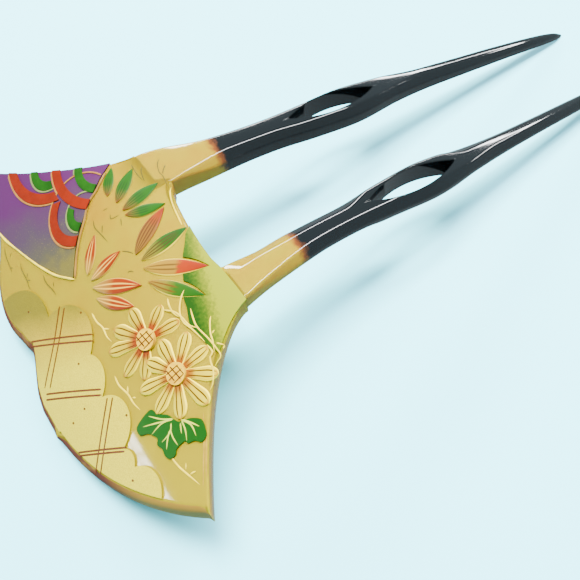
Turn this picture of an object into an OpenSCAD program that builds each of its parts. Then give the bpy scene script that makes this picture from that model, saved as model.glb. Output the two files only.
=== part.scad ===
// A two-pronged kanzashi: one arched piece of plastic, with a fan-shaped head and
// raised lacquer ornament on its upper face. +Y runs to the tips, +Z is up.
// The plan is drawn from a datum on the arch near the crotch, and place() then
// moves it so that the origin is under the middle of the length.

/* [Arch] */
// Thickness of the plate over the crown
plate_t = 4.2; // [3:0.1:6]
// Radius of the crown, on the underside
crown_r = 24; // [18:1:40]
// Slope where the crown turns into the head, degrees
head_slope = 31.8; // [10:0.1:34]
// Slope where the crown turns into the prongs, degrees
prong_slope = 9.7; // [4:0.1:14]
// Radius of the head's underside
head_under_r = 220; // [120:5:400]
// Radius of the head's upper face, smaller so that the rim is thin
head_top_r = 100; // [80:5:200]
// Radius of the long bend of the prongs
prong_r = 1600; // [800:50:3000]

/* [Head] */
// Half the width across the two corners of the fan
head_half_w = 36; // [28:0.5:42]
// How far behind the datum the two corners lie
corner_back = 22.2; // [16:0.1:28]
// How far behind the datum the rim reaches
rim_back = 36; // [32:0.5:42]
// Half the width of the crotch between the prongs
crotch_half_w = 8.8; // [7:0.1:11]

/* [Prongs] */
// How far in front of the datum the tips lie
tip_ahead = 98; // [80:1:110]
// Middle of the eyelet, in front of the datum
eyelet_y = 34.2; // [30:0.1:40]
// Half the length of the eyelet, at the underside
eyelet_half_l = 8.7; // [6:0.1:10]
// Half the width of the eyelet, at the underside
eyelet_half_w = 2; // [1:0.1:2.2]
// How much larger the eyelet is at the top
eyelet_flare = 1.15; // [1:0.05:1.35]
// How far both prongs stand off the middle line of the head
prong_shift = -0.35; // [-0.6:0.05:0.6]

/* [Lacquer] */
// Thickness of the raised panels, leaves and petals
coat_t = 0.25; // [0.15:0.05:0.5]
// Thickness of the bands laid over the wave panel
band_t = 0.15; // [0.1:0.05:0.3]
// Height of a flower's eye
eye_t = 0.6; // [0.4:0.1:1]
// Clearance under each raised piece
seat = 0.03; // [0.02:0.01:0.1]

/* [Colours] */
// Amber plastic
amber = "#d9b04c"; // 7
// Gold lacquer
gold = "#d9c25a"; // 7
// Purple lacquer
purple = "#6f4a9c"; // 7
// Orange lacquer
orange = "#cf5a22"; // 7
// Green lacquer
green = "#2f7a2c"; // 7
// Cream petals
cream = "#ecd58c"; // 7
// Green-gold hill
hill_green = "#8fa63c"; // 7

/* [Hidden] */
$fa = 3;
$fs = 0.25;
crest_y = -0.9;
y_mid = (tip_ahead - rim_back) / 2;
top_crown_r = crown_r + plate_t;

// Prong stations: distance ahead of the datum, centre, width, height.
stations = [
    [-8, 12.8, 6.6, 3.9],
    [-2.2, 12.6, 7.5, 4.05],
    [0, 12.5, 7.2, 4.05],
    [4, 12.3, 6.4, 4.05],
    [8, 12.0, 5.8, 4.0],
    [14, 11.6, 5.2, 4.0],
    [21, 11.4, 5.2, 3.9],
    [28, 11.2, 6.3, 3.9],
    [36, 11.2, 7.4, 3.9],
    [40, 11.2, 7.1, 3.8],
    [48, 11.2, 5.1, 3.6],
    [56, 11.0, 3.9, 3.3],
    [66, 10.6, 3.3, 2.9],
    [78, 10.1, 2.9, 2.5],
    [90, 9.5, 2.3, 2.0],
    [95.5, 9.2, 1.5, 1.4],
    [98, 9.1, 0.4, 0.5]
];

// Flowers: centre, then the direction and length of each petal.
front_flower = [18.3, -15.6];
front_petals = [[10, 6.7], [45, 6.2], [87, 5.3], [131, 5.6], [174, 5.8], [207, 5.6],
                [245, 6.1], [290, 5.6], [331, 6.0]];
back_flower = [10.9, -16.4];
back_petals = [[72, 5.3], [120, 4.9], [176, 5.8], [209, 6.4], [236, 6.6], [283, 5.6],
               [322, 5.4]];

// Leaves: base, tip, width.
upper_leaves = [[[-13, -9.3], [-17, -6.2], 1.9], [[-10.8, -8.8], [-14.4, -3.7], 2.3],
                [[-8.9, -8.7], [-9.3, -1.9], 2.4], [[-7.9, -8.8], [-5.2, -3], 2.1]];
middle_leaves = [[[-1, -11], [-4.7, -3.5], 2.6], [[0.5, -10.8], [0.7, -2.6], 2.6],
                 [[1.8, -11.2], [8.4, -3.6], 2.7], [[4.1, -11.7], [12, -6.5], 2.3]];
lower_leaves = [[[-5.1, -18.4], [-9.2, -14.2], 1.9], [[-3.9, -18.4], [-3.5, -12.5], 2.2],
                [[-2.8, -18.8], [3.7, -12.8], 2.4], [[-0.9, -19.2], [5.4, -15.3], 2]];

// Points along a cubic curve and along a circle.
function curve(a, b, c, d, n = 16) = [
    for (i = [0:n])
        let (t = i / n)
        pow(1 - t, 3) * a + 3 * t * pow(1 - t, 2) * b + 3 * t * t * (1 - t) * c + t * t * t * d
];

function arc(c, r, from, to, n) = [
    for (i = [0:n])
        let (a = from + (to - from) * i / n)
        c + r * [cos(a), sin(a)]
];

// A closed curve through points, with n steps from each to the next.
function through(p, n = 3) =
    let (m = len(p))
    [
        for (i = [0:m - 1], k = [0:n - 1])
            let (a = p[(i + m - 1) % m], b = p[i], c = p[(i + 1) % m], d = p[(i + 2) % m], t = k / n)
            b + 0.5 * t * (c - a + t * (2 * a - 5 * b + 4 * c - d + t * (3 * b - 3 * c + d - a)))
    ];

function reversed(p) = [for (i = [len(p) - 1:-1:0]) p[i]];

// Height of an arched face over the crown's underside crest: rc over the crown,
// rh over the head, rp over the prongs.
function arch(y, rc, rh, rp) =
    let (u = y - crest_y, uh = -rc * sin(head_slope), up = rc * sin(prong_slope))
    u < uh ? sqrt(rh * rh - pow(u - uh - rh * sin(head_slope), 2))
             + (rc - rh) * cos(head_slope) - crown_r
    : u > up ? sqrt(rp * rp - pow(u - up + rp * sin(prong_slope), 2))
               + (rc - rp) * cos(prong_slope) - crown_r
    : sqrt(rc * rc - u * u) - crown_r;

// The rim's underside rests on z = 0, so this is how high the crown stands.
crown_z = -arch(-rim_back, crown_r, head_under_r, prong_r);

function under_z(y) = crown_z + arch(y, crown_r, head_under_r, prong_r);

// Values between two stations, on a smooth curve through all of them.
function segment(t, y, i = 0) = i >= len(t) - 2 || y < t[i + 1][0] ? i : segment(t, y, i + 1);

function slope(t, i, k) =
    let (a = max(i - 1, 0), b = min(i + 1, len(t) - 1))
    (t[b][k] - t[a][k]) / (t[b][0] - t[a][0]);

function along(t, y, k) =
    let (i = segment(t, y), h = t[i + 1][0] - t[i][0], s = (y - t[i][0]) / h)
    (1 + 2 * s) * pow(1 - s, 2) * t[i][k] + s * pow(1 - s, 2) * h * slope(t, i, k)
    + s * s * (3 - 2 * s) * t[i + 1][k] + s * s * (s - 1) * h * slope(t, i + 1, k);

function ease(a, b, y) = let (s = min(max((y - a) / (b - a), 0), 1)) s * s * (3 - 2 * s);

// How much wider a prong is on its inner side, for the left one (hand -1), which
// swells toward the crotch, and for the right one, which is cut back there.
function inner_add(y, hand) =
    hand < 0 ? 0.5 * (1 - ease(4, 16, y)) + 0.3 * (1 - ease(60, 90, y)) : ease(-2, 10, y) - 1;

// One prong's eight-sided section. Its flat top is as wide as the plate's root at
// the crotch and narrows to a ridge, with a sloping facet on each side.
function section(y, hand) =
    let (c = along(stations, y, 1), w = along(stations, y, 2), h = along(stations, y, 3),
         z = under_z(y) + 0.1 * (1 - ease(-3, 1, y)), more = inner_add(y, hand),
         bevel = ease(-3, 5, y), slow = hand < 0 ? ease(-1, 12, y) : bevel,
         fine = ease(46, 56, y), swell = ease(20, 26, y) - ease(42, 48, y),
         flat_in = hand < 0 ? 0.5 - 0.16 * slow - 0.14 * fine + 0.04 * swell
                            : 0.47 - 0.33 * ease(-5, -0.5, y) + 0.06 * fine + 0.22 * swell,
         flat_out = 0.47 - 0.15 * ease(-1, 11, y) - 0.16 * fine,
         wall_in = 0.94 - 0.32 * slow, wall_out = 0.94 - 0.36 * bevel,
         foot = 0.44 - 0.14 * bevel + 0.12 * swell, low_in = 0.3 - 0.2 * bevel,
         side = c - 0.5 * w - more)
    [[side + 0.03 * w, y, z], [c + foot * w, y, z], [c + 0.5 * w, y, z + 0.3 * h],
     [c + 0.5 * w, y, z + wall_out * h], [c + flat_out * w, y, z + h],
     [max(side + 0.03 * w, c - flat_in * w - more * (1 - slow)), y, z + h],
     [side, y, z + wall_in * h], [side, y, z + low_in * h]];

ring_n = 52;
ring_y = [for (i = [0:ring_n]) -8 + (tip_ahead + 8) * (1 - pow(1 - i / ring_n, 1.15))];

module place() {
    translate([0, -y_mid, 0])
        children();
}

module prong(hand) {
    points = [for (y = ring_y) each section(y, hand)];
    sides = [
        for (i = [0:ring_n - 1], k = [0:7])
            let (a = 8 * i + k, b = 8 * i + (k + 1) % 8)
            each [[a, b, b + 8], [a, b + 8, a + 8]]
    ];
    ends = [[for (k = [7:-1:0]) k], [for (k = [0:7]) 8 * ring_n + k]];
    polyhedron(points, concat(sides, ends), convexity = 6);
}

// A pointed oval made by two circles.
module almond(half_l, half_w, fn = 240) {
    r = (half_l * half_l + half_w * half_w) / (2 * half_w);
    intersection() {
        translate([0, half_w - r])
            circle(r, $fn = fn);
        translate([0, r - half_w])
            circle(r, $fn = fn);
    }
}

module pierced_prong(hand) {
    low = under_z(eyelet_y) - 1;
    tilt = atan((under_z(46) - under_z(22)) / 24);
    difference() {
        prong(hand);
        translate([11.2, eyelet_y, low])
            rotate([tilt, 0, 0])
                rotate(90)
                    linear_extrude(7, scale = eyelet_flare)
                        almond(eyelet_half_l, eyelet_half_w, 48);
    }
}

// A thick layer that follows the arch over the head and the crown, between two
// faces given by their radii: two pairs of rollers, each cut to its own sector.
crown_c = [crest_y, crown_z - crown_r];

function head_c(rc, rh) = crown_c + (rc - rh) * [-sin(head_slope), cos(head_slope)];

module roller(c, r) {
    translate([-45, c[0], c[1]])
        rotate([0, 90, 0])
            cylinder(r = r, h = 90, $fn = 240);
}

module sector(from, to) {
    reach = 90;
    middle = (from + to) / 2;
    translate([-45, crown_c[0], crown_c[1]])
        rotate([90, 0, 90])
            linear_extrude(90)
                polygon([[0, 0], reach * [cos(from), sin(from)],
                         1.2 * reach * [cos(middle), sin(middle)], reach * [cos(to), sin(to)]]);
}

module head_layer(low, high) {
    intersection() {
        linear_extrude(40)
            children();
        sector(90 + head_slope, 150 + head_slope);
        difference() {
            roller(head_c(high[0], high[1]), high[1]);
            roller(head_c(low[0], low[1]), low[1]);
        }
    }
}

module crown_layer(low, high) {
    intersection() {
        linear_extrude(40)
            children();
        sector(90 - prong_slope, 90 + head_slope);
        difference() {
            roller(crown_c, high[0]);
            roller(crown_c, low[0]);
        }
    }
}

module layer(low, high) {
    head_layer(low, high)
        children();
    crown_layer(low, high)
        children();
}

// Outline of the head, seen from above: two flares, two unequal lobes with the
// notch between them, and the shallow hollow of the crotch. The rim can be drawn
// further in, for the lacquer that stops short of its rounded edge.
module plate_plan(rim_in = 0) {
    corner = [head_half_w, -corner_back + 0.8 * rim_in];
    flare = curve([16.4, -2.2], [17.6, -8], [24.3, -14.9], corner);
    lobe = arc([4, 7], 43 - rim_in, -43.5, -84, 24);
    foot = [[8.4, -rim_back + rim_in], [2.6, -rim_back + rim_in]];
    notch = [for (p = [[-0.2, -35.3], [-2.4, -34.2], [-4.5, -33], [-6.2, -32.4], [-7.6, -32.8]])
             p + [0, rim_in]];
    small_lobe = arc([-13.8, -19.6], 14.1 - rim_in, -73, -133, 18);
    lobe_end = curve([-24.1 + rim_in / 2, -29.3 + rim_in], [-27, -27], [-31.5, -24.6],
                     [-corner[0], corner[1]], 8);
    far_flare = [for (p = reversed(flare)) [-p[0], p[1]]];
    crotch = [for (p = [[-1, 0.2], [-0.88, -0.2], [-0.78, -0.65], [-0.61, -1.15], [-0.44, -1.43],
                        [-0.27, -1.7], [-0.1, -1.93], [0.06, -2.13], [0.25, -2.34],
                        [0.46, -2.52], [0.68, -2.63], [0.89, -2.65], [1.07, -2.4]])
              [crotch_half_w * p[0], p[1]]];
    polygon(concat(flare, lobe, foot, notch, small_lobe, lobe_end, far_flare, crotch));
}

module body() {
    color(amber)
        place() {
            layer([crown_r, head_under_r], [top_crown_r, head_top_r])
                plate_plan();
            translate([prong_shift, 0, 0]) {
                pierced_prong(1);
                mirror([1, 0, 0])
                    pierced_prong(-1);
            }
        }
}

// Lifts a flat outline on to the arched upper face, as a coat between two heights.
module coat(low, high) {
    place()
        layer([top_crown_r + low, head_top_r + low], [top_crown_r + high, head_top_r + high])
            children();
}

module wave_field() {
    intersection() {
        plate_plan();
        polygon([[-17.9, -6], [-16.6, -8.8], [-15.4, -10.6], [-13.6, -13.4], [-12.2, -15.6],
                 [-10.2, -17.9], [-7, -20.5], [-9.5, -22], [-14.5, -23.9], [-20.1, -25.5],
                 [-27, -26.8], [-34, -27.4], [-40, -24], [-40, -10], [-24, -2]]);
    }
}

module disc(centre, r) {
    translate(centre)
        circle(r);
}

module ring(centre, r, w) {
    difference() {
        disc(centre, r);
        disc(centre, r - w);
    }
}

module wave_panel() {
    color(purple)
        coat(seat, seat + coat_t)
            wave_field();
}

// Three overlapping waves: the second lies over the first, and both over the third.
wave = [[[-28.7, -9.9], 10.9], [[-20, -5.4], 9.9], [[-15, -13.7], 5.9]];
trough = [[[-25.9, -13.4], 4.3], [[-18.5, -6.9], 5.1], [[-14, -13.5], 3.2]];

module crest_plan() {
    ring(wave[1][0], wave[1][1], 1.6);
    difference() {
        ring(wave[0][0], wave[0][1], 1.6);
        disc(wave[1][0], wave[1][1] + 0.4);
    }
    difference() {
        ring(wave[2][0], wave[2][1], 1.5);
        disc(wave[0][0], wave[0][1] + 0.4);
        disc(wave[1][0], wave[1][1] + 0.4);
    }
}

module trough_plan() {
    ring(trough[1][0], trough[1][1], 1.4);
    difference() {
        ring(trough[0][0], trough[0][1], 1.4);
        disc(wave[1][0], wave[1][1] + 0.4);
    }
    difference() {
        ring(trough[2][0], trough[2][1], 1.3);
        disc(wave[1][0], wave[1][1] + 0.4);
    }
}

module over_waves() {
    low = 2 * seat + coat_t;
    coat(low, low + band_t)
        intersection() {
            wave_field();
            children();
        }
}

module wave_crests() {
    color(orange)
        over_waves()
            crest_plan();
}

module wave_troughs() {
    color(green)
        over_waves()
            trough_plan();
}

module gold_cloud() {
    lobes = [[[-9.2, -34.9], 8.3], [[-0.3, -28], 6.2], [[7.2, -28.4], 4.6], [[15.3, -28.4], 4.5],
             [[21.4, -29], 2.2], [[26.6, -29.4], 4]];
    color(gold)
        coat(seat, seat + coat_t)
            intersection() {
                plate_plan(0.9);
                union() {
                    for (l = lobes)
                        disc(l[0], l[1]);
                    polygon([[-9, -29], [-4, -30], [22, -29], [28, -29], [24, -34], [4, -40],
                             [-16, -38]]);
                }
            }
}

module leaf(base, tip, w, grow = 0) {
    d = tip - base;
    translate((base + tip) / 2)
        rotate(atan2(d[1], d[0]))
            almond(norm(d) / 2 + 3 * grow, w / 2 + grow);
}

module leaf_spray(leaves, grow = 0) {
    for (l = leaves)
        leaf(l[0], l[1], l[2], grow);
}

module petals(centre, list, grow = 0) {
    translate(centre)
        for (p = list)
            rotate(p[0]) {
                polygon([[1.7, -0.5 - grow], [p[1] - 1.6, -0.9 - grow], [p[1] - 0.7, -0.8 - grow],
                         [p[1] - 0.7, 0.8 + grow], [p[1] - 1.6, 0.9 + grow],
                         [1.7, 0.5 + grow]]);
                translate([p[1] - 0.8, 0])
                    circle(0.8 + grow);
            }
}

module hill_panel() {
    color(hill_green)
        coat(seat, seat + coat_t)
            difference() {
                intersection() {
                    plate_plan();
                    polygon([[0.8, -1.6], [0.8, -2.2], [1.6, -3.4], [3, -4.4], [4.4, -5.6],
                             [6.6, -7], [8.8, -8.2], [10, -9.1], [11.8, -9.6], [14, -10.6],
                             [16.9, -10.5], [18.8, -10.2], [21.1, -9.4], [24, -8], [24, -2.3],
                             [9, -2.3]]);
                }
                leaf_spray(middle_leaves, 0.06);
                petals(front_flower, front_petals, 0.06);
                petals(back_flower, back_petals, 0.06);
            }
}

module leaves_upper() {
    color(green)
        coat(seat, seat + coat_t)
            leaf_spray(upper_leaves);
}

module leaves_middle() {
    color(green)
        coat(seat, seat + coat_t)
            difference() {
                leaf_spray(middle_leaves);
                petals(back_flower, back_petals, 0.06);
            }
}

module leaves_lower() {
    color(orange)
        coat(seat, seat + coat_t)
            difference() {
                leaf_spray(lower_leaves);
                petals(back_flower, back_petals, 0.06);
            }
}

module flower_back() {
    color(cream)
        coat(seat, seat + coat_t)
            difference() {
                petals(back_flower, back_petals);
                petals(front_flower, front_petals, 0.06);
            }
}

module flower_front() {
    color(cream)
        coat(seat, seat + coat_t)
            petals(front_flower, front_petals);
}

// The upper face's height and lean at a point, for what stands on it.
function upper_z(y) = crown_z + arch(y, top_crown_r, head_top_r, prong_r + plate_t);

function lean(y) = atan((upper_z(y + 0.1) - upper_z(y - 0.1)) / 0.2);

module flower_eye(centre) {
    color(cream)
        place()
            translate([centre[0], centre[1], upper_z(centre[1])])
                rotate([lean(centre[1]), 0, 0])
                    translate([0, 0, 2 * seat])
                        cylinder(r = 1.62, h = eye_t, $fn = 48);
}

module flower_back_eye() {
    flower_eye(back_flower);
}

module flower_front_eye() {
    flower_eye(front_flower);
}

// A chrysanthemum leaf in three parts, each with round teeth at its edge.
module flower_leaf() {
    edge = [[18.9, -22], [19, -23.6], [19.4, -24.5], [20.5, -24.5], [21.3, -23.4], [22.8, -22.7],
            [23.5, -23.2], [24.5, -22.9], [25.5, -23.1], [26.4, -22.7], [26.6, -21.8],
            [26.1, -21.2], [26.2, -19.8], [26.8, -19.6], [27.2, -18.7], [28.1, -18],
            [27.9, -17], [27, -16.6], [25.8, -16.4], [24.5, -17.5], [23.9, -18.5],
            [23.5, -19.1], [22.8, -19.4], [21.6, -19.8], [20.3, -20.9], [19.2, -21.2]];
    color(green)
        coat(seat, seat + coat_t)
            difference() {
                polygon(through(edge));
                petals(front_flower, front_petals, 0.06);
            }
}

body();
wave_panel();
wave_crests();
wave_troughs();
gold_cloud();
hill_panel();
leaves_upper();
leaves_middle();
leaves_lower();
flower_back();
flower_front();
flower_back_eye();
flower_front_eye();
flower_leaf();
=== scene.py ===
# A two-pronged kanzashi: an arched amber plate with raised lacquer, and black prongs.
# Lengths in the tables below are in millimetres, in the plan of the plate: x across,
# y ahead of the crotch line. The scene itself is in metres, in the frame of the CAD.
import math

import bmesh
import bpy
from bpy.props import FloatProperty, FloatVectorProperty, PointerProperty
from mathutils import Matrix, Vector


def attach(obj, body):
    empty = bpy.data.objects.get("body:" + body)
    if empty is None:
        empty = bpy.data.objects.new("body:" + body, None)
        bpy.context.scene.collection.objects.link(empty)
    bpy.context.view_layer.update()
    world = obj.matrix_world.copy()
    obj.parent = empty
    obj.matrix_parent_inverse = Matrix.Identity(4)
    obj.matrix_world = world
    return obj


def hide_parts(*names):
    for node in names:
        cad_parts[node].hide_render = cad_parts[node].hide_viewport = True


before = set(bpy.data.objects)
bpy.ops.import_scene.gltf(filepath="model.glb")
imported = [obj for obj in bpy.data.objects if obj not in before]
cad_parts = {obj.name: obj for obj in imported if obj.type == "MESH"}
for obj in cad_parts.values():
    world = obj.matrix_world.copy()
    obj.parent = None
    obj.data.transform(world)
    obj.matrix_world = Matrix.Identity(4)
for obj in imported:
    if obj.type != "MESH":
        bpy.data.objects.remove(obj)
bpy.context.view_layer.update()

bl_info = {
    "name": "Kanzashi dressing",
    "version": (1, 0, 0),
    "blender": (4, 5, 0),
    "location": "3D View > Sidebar > Kanzashi",
    "description": "Moulded plate, lacquer ornament and studio stage of a kanzashi",
    "category": "Object",
}

MM = 0.001
# The crotch line lies this far behind the middle of the hairpin's length
CROTCH = 31.0


# Colours

def linear(code):
    """A screen colour such as #d9b44a as the linear values that shaders take."""
    parts = [int(code[i:i + 2], 16) / 255 for i in (1, 3, 5)]
    return tuple(p / 12.92 if p <= 0.04045 else ((p + 0.055) / 1.055) ** 2.4 for p in parts)


def paint(colour):
    """A code such as #d9b44a, a shade of grey or a linear colour, made opaque."""
    if isinstance(colour, str):
        return linear(colour) + (1.0,)
    if isinstance(colour, float):
        return (colour, colour, colour, 1.0)
    return tuple(colour) + (1.0,)


# The arched faces of the plate and the prongs

CREST_Y = -0.9
# Radii of the arch over the crown, along the head and along the prongs
UNDER_ARCH = 24.0, 220.0, 1600.0
FACE_ARCH = 28.2, 100.0, 1604.2
# The end of the rim, which lies on the floor
RIM_Y = -36.0
PRONG_SHIFT = -0.35
HEAD_SLOPE = math.radians(31.8)
PRONG_SLOPE = math.radians(9.7)


def arch(y, crown, head, prong):
    """Height of an arched face over the crest of the underside."""
    u = y - CREST_Y
    back = -crown * math.sin(HEAD_SLOPE)
    ahead = crown * math.sin(PRONG_SLOPE)
    if u < back:
        run = u - back - head * math.sin(HEAD_SLOPE)
        turn = (crown - head) * math.cos(HEAD_SLOPE)
        return math.sqrt(head ** 2 - run ** 2) + turn - UNDER_ARCH[0]
    if u > ahead:
        run = u - ahead + prong * math.sin(PRONG_SLOPE)
        turn = (crown - prong) * math.cos(PRONG_SLOPE)
        return math.sqrt(prong ** 2 - run ** 2) + turn - UNDER_ARCH[0]
    return math.sqrt(crown ** 2 - u ** 2) - UNDER_ARCH[0]


CROWN_Z = -arch(RIM_Y, *UNDER_ARCH)


def under_z(y):
    return CROWN_Z + arch(y, *UNDER_ARCH)


def face_z(y):
    return CROWN_Z + arch(y, *FACE_ARCH)


def spot(x, y, z):
    """A point of the plan as a place in the scene."""
    return Vector((x, y - CROTCH, z)) * MM


def face_normal(y):
    rise = (face_z(y + 0.05) - face_z(y - 0.05)) / 0.1
    return Vector((0.0, -rise, 1.0)).normalized()


def on_face(x, y, lift=0.0):
    """A place lift above the plate's decorated face, square to it."""
    return spot(x, y, face_z(y)) + face_normal(y) * (lift * MM)


def ease(a, b, y):
    s = min(max((y - a) / (b - a), 0.0), 1.0)
    return s * s * (3 - 2 * s)


# Curves in the plan

def cubic(a, b, c, d, n=24):
    out = []
    for i in range(n + 1):
        t = i / n
        k = ((1 - t) ** 3, 3 * t * (1 - t) ** 2, 3 * t * t * (1 - t), t ** 3)
        out.append(tuple(k[0] * a[j] + k[1] * b[j] + k[2] * c[j] + k[3] * d[j] for j in (0, 1)))
    return out


def round_arc(centre, r, start, end, n=40):
    out = []
    for i in range(n + 1):
        a = math.radians(start + (end - start) * i / n)
        out.append((centre[0] + r * math.cos(a), centre[1] + r * math.sin(a)))
    return out


def flowing(points, step=0.3):
    """A smooth line through the points, with a point about every step."""
    pts = [Vector(p) for p in points]
    if len(pts) == 2:
        n = max(2, int((pts[1] - pts[0]).length / step))
        return [pts[0].lerp(pts[1], i / n) for i in range(n + 1)]
    ends = [2 * pts[0] - pts[1]] + pts + [2 * pts[-1] - pts[-2]]
    out = []
    for i in range(1, len(ends) - 2):
        a, b, c, d = ends[i - 1:i + 3]
        n = max(2, int((c - b).length / step))
        for k in range(n):
            t = k / n
            out.append(0.5 * (2 * b + (c - a) * t + (2 * a - 5 * b + 4 * c - d) * t * t
                              + (3 * b - a - 3 * c + d) * t ** 3))
    return out + [pts[-1]]


def inside(point, outline):
    x, y = point[0], point[1]
    odd = False
    for (x0, y0), (x1, y1) in zip(outline, outline[1:] + outline[:1]):
        if (y0 > y) != (y1 > y) and x < x0 + (y - y0) * (x1 - x0) / (y1 - y0):
            odd = not odd
    return odd


# Sizes and colours that a user would change

def length(name, description, mm):
    """A length to set, which starts as mm millimetres."""
    return FloatProperty(name=name, description=description, default=mm * MM, unit="LENGTH")


def swatch(name, description, colour):
    """A colour to set, which starts as colour, given as paint() takes it."""
    return FloatVectorProperty(name=name, description=description, subtype="COLOR",
                               default=paint(colour)[:3])


class KanzashiSizes(bpy.types.PropertyGroup):
    rim_round: length("Rim rounding", "Radius of the polished edge along the rim", 1.0)
    edge_round: length("Side rounding", "Radius of the edge along the two flared sides", 0.45)
    crotch_round: length("Crotch bevel", "Width of the worn bevel between the prongs", 0.9)
    line_width: length("Line width", "Width of a drawn lacquer line", 0.27)
    key_power: FloatProperty(
        name="Key light", description="Power of the large soft light",
        default=34.0, unit="POWER")


class KanzashiColours(bpy.types.PropertyGroup):
    amber: swatch("Amber", "The cast plastic", "#786801")
    amber_cloud: swatch("Amber cloud", "Milky swirls in the cast plastic", "#785e01")
    spray_black: swatch("Sprayed black", "The black of the prongs", "#05080a")
    rim_paint: swatch("Rim paint", "Brown-red paint along the rim", "#4a1e0a")
    purple: swatch("Purple", "Lacquer of the wave field", "#38163a")
    orange: swatch("Orange", "Lacquer of the outer wave bands", "#5e1401")
    green: swatch("Green", "Lacquer of the inner wave bands", "#123c06")
    gold: swatch("Gold", "Powder gold of the cloud", "#b0a001")
    floor: swatch("Floor", "The pale table", (0.17, 0.70, 0.86))


def sizes():
    return bpy.context.scene.kanzashi_sizes


def colours():
    return bpy.context.scene.kanzashi_colours


# Building materials

# Where the spray on the prongs starts and is full, along y from the hairpin's middle
SPRAY_FROM, SPRAY_TO = -21.8, -18.2
# How much of the light goes into the amber and comes out again
GLOW = 0.6


def add(tree, kind, inputs=None, **settings):
    """One shader node with its settings, and its sockets set or linked."""
    made = tree.nodes.new("ShaderNode" + kind)
    for name, value in settings.items():
        setattr(made, name, value)
    for key, value in (inputs or {}).items():
        if isinstance(value, bpy.types.NodeSocket):
            tree.links.new(value, made.inputs[key])
        else:
            made.inputs[key].default_value = value
    return made


def new_finish(name, sockets):
    """A material with its Principled shader set, as (material, tree, shader)."""
    mat = bpy.data.materials.new(name)
    mat.use_nodes = True
    tree = mat.node_tree
    shader = tree.nodes["Principled BSDF"]
    for key, value in sockets.items():
        shader.inputs[key].default_value = value
    return mat, tree, shader


def mixed(tree, share, a, b, mode="MIX"):
    """Two colours mixed by share, each a node's output or what paint() takes."""
    a, b = (c if isinstance(c, bpy.types.NodeSocket) else paint(c) for c in (a, b))
    made = add(tree, "Mix", {0: share, 6: a, 7: b}, data_type="RGBA", blend_type=mode)
    return made.outputs[2]


def math_of(tree, what, a, b=0.0, clamp=False):
    return add(tree, "Math", {0: a, 1: b}, operation=what, use_clamp=clamp).outputs[0]


def spread(tree, value, low, high, top=1.0):
    """0 where the value is low, top where it is high, and level beyond them."""
    return add(tree, "MapRange", {"Value": value, "From Min": low, "From Max": high,
                                  "To Max": top}).outputs[0]


def ramp(tree, share, *stops):
    """A gradient through stops, each a place and a colour that paint() takes."""
    made = add(tree, "ValToRGB", {0: share})
    band = made.color_ramp.elements
    band[0].position, band[0].color = stops[0][0], paint(stops[0][1])
    band[1].position, band[1].color = stops[-1][0], paint(stops[-1][1])
    for place, colour in stops[1:-1]:
        band.new(place).color = paint(colour)
    return made.outputs[0]


def rising(tree, share, low, high):
    """A mask that is 0 up to low and 1 from high on."""
    return ramp(tree, share, (low, 0.0), (high, 1.0))


def place_of(tree):
    return add(tree, "TexCoord").outputs["Object"]


def grown(tree, scale_mm, detail=3.0):
    """Noise with blotches of about scale_mm."""
    return add(tree, "TexNoise", {"Vector": place_of(tree), "Scale": 1 / (scale_mm * MM),
                                  "Detail": detail}).outputs["Fac"]


def centred(tree, scale_mm, amount):
    """Noise that shifts a gradient by up to half of amount either way."""
    off = math_of(tree, "SUBTRACT", grown(tree, scale_mm, 2.0), 0.5)
    return math_of(tree, "MULTIPLY", off, amount)


def between(tree, a, b):
    """0 at plan point a, 1 at plan point b."""
    start = spot(a[0], a[1], 0)
    run = spot(b[0], b[1], 0) - start
    shifted = add(tree, "VectorMath", {0: place_of(tree), 1: start}, operation="SUBTRACT")
    dot = add(tree, "VectorMath", {0: shifted.outputs[0], 1: run / run.length_squared},
              operation="DOT_PRODUCT")
    return dot.outputs["Value"]


def bumped(tree, shader, height, strength, distance_mm):
    made = add(tree, "Bump", {"Height": height, "Strength": strength,
                              "Distance": distance_mm * MM})
    tree.links.new(made.outputs[0], shader.inputs["Normal"])


def coloured(tree, shader, tone):
    tree.links.new(tone, shader.inputs["Base Color"])


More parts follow.
